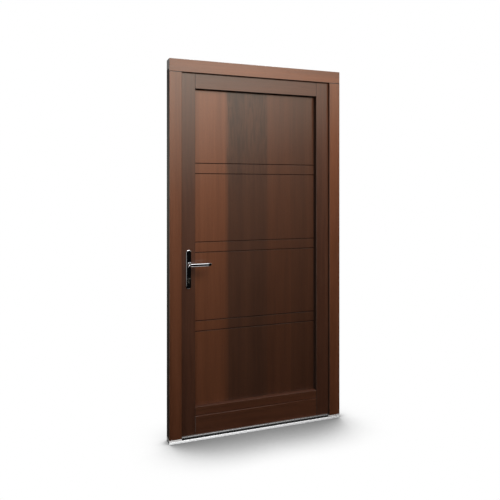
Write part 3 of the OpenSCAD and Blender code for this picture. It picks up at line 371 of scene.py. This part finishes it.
# Fine grain of varnish, metal, rubber and plastic, and a cloudiness fifty times coarser
fine_grain, fine_in, fine_out = group(
    "fine_grain", [("Vector", "NodeSocketVector", None), ("Scale", "NodeSocketFloat", 900.0)],
    [("Grain", "NodeSocketFloat"), ("Cloud", "NodeSocketFloat")])
for label, factor, detail in (("Grain", 1.0, 2.0), ("Cloud", 0.02, 3.0)):
    noise = add(fine_grain, "ShaderNodeTexNoise", {"Detail": detail})
    fine_grain.links.new(fine_in.outputs["Vector"], noise.inputs["Vector"])
    fine_grain.links.new(math_node(fine_grain, "MULTIPLY", fine_in.outputs["Scale"], factor),
                         noise.inputs["Scale"])
    fine_grain.links.new(noise.outputs[0], fine_out.inputs[label])


cloud_share = 0.6


def grained(name, dark, light, rough, bump, scale=900.0, stretch=(1, 1, 1), **plain):
    """A finish with fine grain: a cloudy tone from dark to light, a roughness or a range of it, and a
    bump height."""
    made, tree, shader = material(name, **plain)
    mapping = add(tree, "ShaderNodeMapping", {"Scale": stretch})
    tree.links.new(add(tree, "ShaderNodeTexCoord").outputs["Object"], mapping.inputs["Vector"])
    detail = add(tree, "ShaderNodeGroup", node_tree=fine_grain)
    detail.inputs["Scale"].default_value = scale
    tree.links.new(mapping.outputs[0], detail.inputs["Vector"])
    blend = math_node(tree, "ADD", math_node(tree, "MULTIPLY", detail.outputs["Grain"], 1 - cloud_share),
                      math_node(tree, "MULTIPLY", detail.outputs["Cloud"], cloud_share))
    tree.links.new(ramp(tree, blend, [(0.3, dark), (0.7, light)]), shader.inputs["Base Color"])
    if isinstance(rough, tuple):
        tree.links.new(ramp(tree, detail.outputs["Grain"], [(0.25, rough[0]), (0.75, rough[1])]),
                       shader.inputs["Roughness"])
    else:
        shader.inputs["Roughness"].default_value = rough
    raise_by(tree, shader, detail.outputs["Grain"], strength=0.3, distance=bump)
    return made


along_x, along_z = (0.02, 1, 1), (1, 1, 0.02)      # grain drawn out along x or z
# A near-black varnish that paints shade on reveals, undersides and the faces inside grooves
painted_recess_shade = grained("painted_recess_shade", (0.014, 0.0060, 0.0035), (0.026, 0.0105, 0.0060), (0.55, 0.70),
                       bump=0.0001, scale=700.0, specular_ior_level=0.15)

# Near-black timber on the faces against the wall, and pale grey with rings where the head stops
dark_wall_timber, tree, shader = material("dark_wall_timber", roughness=0.45, specular_ior_level=0.05,
                                       specular_tint=(1.0, 0.86, 0.78, 1.0))
dark_wall_grain = add(tree, "ShaderNodeGroup", {"Wander": 0.02}, node_tree=timber_grain)
tree.links.new(place_of(tree), dark_wall_grain.inputs["Vector"])
dark_wall_colour = ramp(tree, dark_wall_grain.outputs["Lines"],
                     [(0.35, (0.018, 0.011, 0.008)), (0.65, (0.030, 0.019, 0.014))])
tree.links.new(dark_wall_colour, shader.inputs["Base Color"])
raise_by(tree, shader, dark_wall_grain.outputs["Fibres"], strength=0.3, distance=0.0003)

pale_head_end, tree, shader = material("pale_head_end", roughness=0.6)
end_rings = add(tree, "ShaderNodeTexWave", {"Scale": 60.0, "Distortion": 3.0}, wave_type="RINGS")
tree.links.new(place_of(tree, shift=(0, 0.3, -1.9)), end_rings.inputs["Vector"])
tree.links.new(ramp(tree, end_rings.outputs["Fac"], [(0.0, (0.30, 0.28, 0.27)), (1.0, (0.44, 0.42, 0.40))]),
               shader.inputs["Base Color"])


def wear(node, made):
    """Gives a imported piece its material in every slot."""
    for holder in frame["nodes"][node].material_slots:
        holder.material = made


weld, flatness, sharp = 2e-6, math.radians(0.3), math.radians(35)
shortest = 6      # an arris is rounded if it is this many times longer than its rounding is wide


def eased(node, width, made, *others):
    """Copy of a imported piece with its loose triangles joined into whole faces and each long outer
    arris rounded by width. It stands for that piece and rides on the same body. Each of others is a
    material and a test of a face's centre: the faces that pass have that material."""
    source = frame["nodes"][node]
    mesh = bpy.data.meshes.new(node + ".eased")
    work = bmesh.new()
    work.from_mesh(source.data)
    bmesh.ops.remove_doubles(work, verts=work.verts, dist=weld)
    bmesh.ops.dissolve_limit(work, angle_limit=flatness, verts=work.verts, edges=work.edges)
    weight = work.edges.layers.float.new("bevel_weight_edge")
    for face in work.faces:
        face.smooth = True
    for edge in work.edges:
        turned = edge.calc_face_angle(0.0) if edge.is_manifold else 0.0
        edge.smooth = edge.is_manifold and turned < sharp
        long_enough = edge.calc_length() > shortest * width
        if edge.is_manifold and edge.is_convex and turned > sharp and long_enough:
            edge[weight] = 1.0
    work.to_mesh(mesh)
    work.free()
    mesh.materials.append(made)
    centre = np.empty(3 * len(mesh.polygons))
    mesh.polygons.foreach_get("center", centre)
    worn = np.zeros(len(mesh.polygons), np.int32)
    for index, (other, passes) in enumerate(others):
        mesh.materials.append(other)
        worn[passes(*centre.reshape(-1, 3).T)] = index + 1
    mesh.polygons.foreach_set("material_index", worn)
    piece = bpy.data.objects.new(node + ".eased", mesh)
    scene.collection.objects.link(piece)
    rounding = piece.modifiers.new("arrises", "BEVEL")
    rounding.width = width
    rounding.segments = 2
    rounding.limit_method = "WEIGHT"
    rounding.use_clamp_overlap = False
    rounding.harden_normals = True
    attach(piece, source["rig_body"])
    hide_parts(node)
    return piece


# Painted shade on the jambs' inner faces and on the head's underside
for name in ("frame_jamb_left", "frame_jamb_right"):
    eased(name, arris, jamb_timber, (dark_wall_timber, lambda x, y, z: np.abs(x) > wall_face),
          (painted_recess_shade, lambda x, y, z: np.abs(x) < lip_edge + fit))
eased("frame_head", arris, head_timber, (pale_head_end, lambda x, y, z: np.abs(x) > wall_face),
      (painted_recess_shade, lambda x, y, z: (z < head_joint + fit) & (np.abs(x) < lip_edge)))

# ---------- Threshold and end blocks ----------
# An extruded aluminium cap over a black plastic core, run under both jambs; the tread behind its
# grooves is near-black, a painted shade. A pale moulded block under each jamb keeps the end grain off the
# wet.

anodised = grained("anodised_aluminium", (0.74, 0.75, 0.76), (0.82, 0.82, 0.83), (0.34, 0.44),
                   bump=0.00001, scale=1500.0, stretch=along_x, metallic=0.5)
painted_tread_shade = grained("painted_tread_shade", (0.016, 0.016, 0.017), (0.030, 0.030, 0.031), (0.42, 0.55),
                      bump=0.00002, scale=1500.0, stretch=along_x, specular_ior_level=0.3)
black_plastic = grained("black_plastic", (0.012, 0.012, 0.012), (0.026, 0.026, 0.027), (0.45, 0.6),
                        bump=0.0001)
pale_plastic = grained("pale_plastic", (0.29, 0.28, 0.275), (0.36, 0.35, 0.345), (0.40, 0.52),
                       bump=0.00008)
tread_y, tread_z = -0.0285, 0.0119      # the tread is the cap's top behind its two grooves
# Painted shade: the tread behind the grooves, which the leaf shades, is near-black
foot.objects.link(eased("threshold", 0.0005, anodised,
                        (painted_tread_shade, lambda x, y, z: (y > tread_y) & (z > tread_z))))
wear("threshold_core", black_plastic)
for name in ("end_block_left", "end_block_right"):
    foot.objects.link(eased(name, 0.0006, pale_plastic))

# ---------- Seals ----------
# Extruded black rubber, pressed by its stem into a saw cut in the frame or the leaf.

seal_rubber = grained("seal_rubber", (0.008, 0.008, 0.008), (0.018, 0.018, 0.018), (0.55, 0.75),
                      bump=0.00008)
for name, kind in slot_of.items():
    if kind == "seal_rubber":
        wear(name, seal_rubber)

# ---------- Timber of the leaf ----------
# Two stiles with the rails tenoned between them, of the same timber. The inner beads that hold the
# panel are square-cut strips of it.

leaf_tones = ((0.058, 0.020, 0.0098), (0.080, 0.028, 0.0138), (0.104, 0.038, 0.019))
foot_tones = ((0.078, 0.026, 0.0115), (0.108, 0.036, 0.0160), (0.138, 0.048, 0.022))
stile_edge, soffit, leaf_arris = 0.3935, 2.039, 0.0012      # soffit is the underside of the top rail
leaf_upright, tree, shader, colour = timber("leaf_upright", upright, (1.1, 0, 0.7), leaf_tones)
# Painted shade along the stiles' inner reveals
colour = mix_colour(tree, where(tree, "X", "LESS_THAN", stile_edge + leaf_arris, True), colour, dark_joint_and_painted_shade)
tree.links.new(colour, shader.inputs["Base Color"])
leaf_level, tree, shader, colour = timber("leaf_level", level, (0, 0, 2.3), foot_tones)
# A dark joint line where the bottom rail meets the stiles
colour = mix_colour(tree, where(tree, "X", "GREATER_THAN", stile_edge - leaf_arris, True), colour, dark_joint_and_painted_shade)
tree.links.new(colour, shader.inputs["Base Color"])
top_level, tree, shader, colour = timber("top_level", level, (0, 0, 2.9), leaf_tones)
# A dark joint line where the top rail meets the stiles, and painted shade on its underside
colour = mix_colour(tree, where(tree, "X", "GREATER_THAN", stile_edge - leaf_arris, True), colour, dark_joint_and_painted_shade)
colour = mix_colour(tree, where(tree, "Z", "LESS_THAN", soffit + leaf_arris), colour, dark_joint_and_painted_shade)
tree.links.new(colour, shader.inputs["Base Color"])
# Painted shade on the stiles' inner faces and on the top rail's underside
for name in ("lock_stile", "hinge_stile"):
    eased(name, leaf_arris, leaf_upright, (painted_recess_shade, lambda x, y, z: np.abs(x) < stile_edge + fit))
eased("top_rail", leaf_arris, top_level, (painted_recess_shade, lambda x, y, z: z < soffit + fit))
ledge, vee_z, vee_half = 0.187, 0.1361, 0.003      # top of the bottom rail, and its V groove
ledge_timber = grained("ledge_timber", (0.075, 0.027, 0.015), (0.105, 0.038, 0.021), (0.50, 0.60),
                       bump=0.0001, scale=700.0, stretch=along_x, specular_ior_level=0.2)
eased("bottom_rail", leaf_arris, leaf_level,
      (ledge_timber, lambda x, y, z: (np.abs(z - vee_z) < vee_half) | (z > ledge - fit)))
for name in ("bead_left", "bead_right"):
    wear(name, leaf_upright)
for name in ("bead_top", "bead_bottom"):
    wear(name, leaf_level)

# ---------- Panel ----------
# A foam core between two boards. The outer board is veneered in four upright leaves of different
# tone, and three pairs of level grooves are cut across it.

leaf_edges = (-0.191, 0.071, 0.233)      # x where one veneer leaf meets the next
leaf_blur = (0.016, 0.008, 0.008)
leaf_step = (1.37, 0, 0.63)              # each leaf shows the grain this much further on
leaf_tints = ((1.44, 1.34, 1.20), (0.58, 0.60, 0.62), (0.72, 0.69, 0.65), (0.60, 0.59, 0.57))


def veneer_leaf(tree, vector):
    """Shifts the grain and picks the tint of the veneer leaf that a place lies on."""
    parts = add(tree, "ShaderNodeSeparateXYZ")
    tree.links.new(add(tree, "ShaderNodeTexCoord").outputs["Object"], parts.inputs[0])
    tint = leaf_tints[0]
    count = 0.0
    for edge, blur, after in zip(leaf_edges, leaf_blur, leaf_tints[1:]):
        past = math_node(tree, "GREATER_THAN", parts.outputs["X"], edge)
        count = math_node(tree, "ADD", past, count)
        blend = add(tree, "ShaderNodeMapRange", {"From Min": edge - blur, "From Max": edge + blur})
        tree.links.new(parts.outputs["X"], blend.inputs["Value"])
        tint = mix_colour(tree, blend.outputs[0], tint, after)
    shifted = add(tree, "ShaderNodeCombineXYZ")
    for socket, step in zip(shifted.inputs, leaf_step):
        if step:
            tree.links.new(math_node(tree, "MULTIPLY", count, step), socket)
    total = add(tree, "ShaderNodeVectorMath", operation="ADD")
    tree.links.new(vector, total.inputs[0])
    tree.links.new(shifted.outputs[0], total.inputs[1])
    return total.outputs[0], tint


outer_tones = ((0.086, 0.0305, 0.0145), (0.108, 0.0385, 0.0180), (0.130, 0.047, 0.0225))
panel_veneer, tree, shader, colour = timber("panel_veneer", upright, (0.5, 0, 0.2), outer_tones, veneer_leaf)

# A darker flame figure that fades in towards the top of the second leaf
flame = stretched_noise(tree, place_of(tree, shift=(0.2, 0, 0.1)), (1.0, 1.0, 0.10),
                        {"Scale": 75.0, "Detail": 5.0, "Distortion": 0.8})
flame = ramp(tree, flame, [(0.40, 0.50), (0.58, 1.0)])
second_leaf = math_node(tree, "MULTIPLY", where(tree, "X", "GREATER_THAN", leaf_edges[0]),
                        where(tree, "X", "LESS_THAN", leaf_edges[1]))
flame_foot, flame_full, flame_share = 1.35, 1.8, 0.8
rise = add(tree, "ShaderNodeMapRange",
           {"From Min": flame_foot, "From Max": flame_full, "To Max": flame_share})
heights = add(tree, "ShaderNodeSeparateXYZ")
tree.links.new(place_of(tree), heights.inputs[0])
tree.links.new(heights.outputs["Z"], rise.inputs["Value"])
figured = math_node(tree, "MULTIPLY", second_leaf, rise.outputs[0])
colour = mix_colour(tree, figured, colour, flame, "MULTIPLY")

# Width of a painted shade where the panel meets the stiles and the top rail
panel_shade_line = 0.003      # dark line where the panel meets the stiles and the top rail
colour = mix_colour(tree, where(tree, "Z", "GREATER_THAN", soffit - panel_shade_line), colour, dark_joint_and_painted_shade)
colour = mix_colour(tree, where(tree, "X", "GREATER_THAN", stile_edge - panel_shade_line, True), colour, dark_joint_and_painted_shade)
tree.links.new(colour, shader.inputs["Base Color"])

inner_tones = ((0.084, 0.030, 0.0145), (0.110, 0.040, 0.0190), (0.138, 0.051, 0.025))
back_veneer, tree, shader, colour = timber("back_veneer", upright, (0.9, 0, 0.2), inner_tones, veneer_leaf)
tree.links.new(colour, shader.inputs["Base Color"])
groove_y = (0.0155, 0.0195)      # from just behind the board's face to just past the groove's floor
# Painted shade on the faces inside the grooves
eased("panel_outer_board", 0.0006, panel_veneer,
      (painted_recess_shade, lambda x, y, z: (y > groove_y[0]) & (y < groove_y[1])))
wear("panel_inner_board", back_veneer)
foam = grained("core_foam", (0.62, 0.66, 0.70), (0.74, 0.78, 0.82), (0.7, 0.9), bump=0.0004, scale=500.0)
wear("panel_core", foam)

# ---------- Foot of the leaf ----------
# A hollow aluminium rail screwed under the leaf, with a nose that throws the rain clear.

mill_aluminium = grained("mill_aluminium", (0.46, 0.46, 0.47), (0.56, 0.56, 0.57), (0.16, 0.24),
                         bump=0.00001, scale=1500.0, stretch=along_x, metallic=0.8)
foot.objects.link(eased("drip_rail", 0.0004, mill_aluminium))

# ---------- Hinges, strikes and lock ----------
# Satin nickel hinges on the inner face, and bright zinc-plated steel for what sits in the edges:
# strikes, faceplate, bolts, rods, cases and screws.

satin_nickel = grained("satin_nickel", (0.55, 0.55, 0.54), (0.68, 0.67, 0.66), (0.26, 0.40),
                       bump=0.00003, scale=1300.0, stretch=along_z, metallic=1.0)
zinc_steel = grained("zinc_steel", (0.58, 0.59, 0.61), (0.74, 0.75, 0.76), (0.28, 0.45),
                     bump=0.00003, scale=1000.0, stretch=along_z, metallic=1.0)
for name, kind in slot_of.items():
    if kind == "hinge_steel":
        wear(name, satin_nickel)
    if kind == "zinc_steel":
        wear(name, zinc_steel)

# ---------- Back plates ----------
# Long chromed plates with a bevelled rim, one on each face, held by two screws from the inside.

chrome = grained("polished_chrome", (0.60, 0.60, 0.61), (0.66, 0.66, 0.67), 0.0,
                 bump=0.000004, scale=400.0, metallic=1.0)
for name in ("outer_backplate", "inner_backplate"):
    eased(name, 0.0004, chrome)

# ---------- Levers ----------
# Bent round bar, turned with a collar at the plate and a domed end, polished and chromed. The two
# are fixed to one square spindle through the lock.

lever_axis = (-0.434, 1.018)      # x and z of the spindle
bar_r, elbow_r, tip_r = 0.010, 0.014, 0.028
neck, grip, cap, tip_turn = 0.031, 0.088, 0.0055, math.radians(40)
# Radius by length along the lever: the journal in the plate, the collar, then a taper to the bar
collar = [(0, 0.009), (0.0098, 0.009), (0.0100, 0.0119), (0.0104, 0.0125), (0.0134, 0.0125),
          (0.0138, 0.0119), (0.0142, 0.0112), (0.0150, 0.0109), (0.026, 0.0101), (neck, bar_r)]
collar_at, collar_r = zip(*collar)
bar_rings, cap_rings, bar_sides = 220, 14, 48


def lever(name, node, start_y, side):
    """A ring of radius r(s) carried along a level path. Its heading turns at a constant rate in the
    elbow and in the tip: place(s, a) = path(s) + r(s) (cos a across the path + sin a upwards).
    It starts in the plate at start_y, and leaves towards -y where side is 1 or +y where it is -1."""
    stops = np.cumsum([0, neck, elbow_r * math.pi / 2, grip, tip_r * tip_turn, cap])
    bar_end = stops[4]
    in_cap = bar_end + cap * np.sin(np.linspace(0, math.pi / 2, cap_rings)[1:-1])
    s = np.unique(np.concatenate([np.linspace(0, bar_end, bar_rings), collar_at, stops[:5], in_cap]))
    over = np.clip((s - bar_end) / cap, 0, 1)
    radius = np.interp(s, collar_at, collar_r) * np.sqrt(1 - over ** 2)
    heading = np.interp(s, stops, [-math.pi / 2, -math.pi / 2, 0, 0, tip_turn, tip_turn])
    step = np.diff(s, prepend=0)
    middle = (heading + np.concatenate([heading[:1], heading[:-1]])) / 2
    path_x = lever_axis[0] + np.cumsum(np.cos(middle) * step)
    path_y = np.cumsum(np.sin(middle) * step)
    turn = np.linspace(0, 2 * math.pi, bar_sides, endpoint=False)
    across = radius[:, None] * np.cos(turn)
    x = path_x[:, None] - across * np.sin(heading)[:, None]
    y = path_y[:, None] + across * np.cos(heading)[:, None]
    z = lever_axis[1] + radius[:, None] * np.sin(turn)
    points = np.stack([x, start_y + side * y, z], axis=-1).reshape(-1, 3)
    rows, count = len(s), len(turn)
    i, j = np.meshgrid(np.arange(rows - 1), np.arange(count), indexing="ij")
    ring = np.stack([i * count + j, i * count + (j + 1) % count,
                     (i + 1) * count + (j + 1) % count, (i + 1) * count + j], axis=-1).reshape(-1, 4)
    start = np.arange(count)[::-1]
    end = (rows - 1) * count + np.arange(count)
    faces = ring.tolist() + [start.tolist(), end.tolist()]
    if side < 0:
        faces = [face[::-1] for face in faces]
    mesh = bpy.data.meshes.new(name)
    mesh.from_pydata(points.tolist(), [], faces)
    mesh.polygons.foreach_set("use_smooth", np.ones(len(faces), bool))
    mesh.materials.append(chrome)
    piece = bpy.data.objects.new(name, mesh)
    scene.collection.objects.link(piece)
    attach(piece, "handle")
    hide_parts(node)


lever("outer_lever.bar", "outer_lever", start_y=-0.017, side=1)
lever("inner_lever.bar", "inner_lever", start_y=0.053, side=-1)

# ---------- Key cylinder ----------
# A nickel-plated brass barrel through the lock, with a plug and keyway at each end.

plated_brass = grained("plated_brass", (0.46, 0.45, 0.42), (0.56, 0.55, 0.51), (0.12, 0.22),
                       bump=0.00002, scale=1200.0, stretch=along_z, metallic=1.0)
for name in ("cylinder_body", "outer_plug", "inner_plug"):
    wear(name, plated_brass)
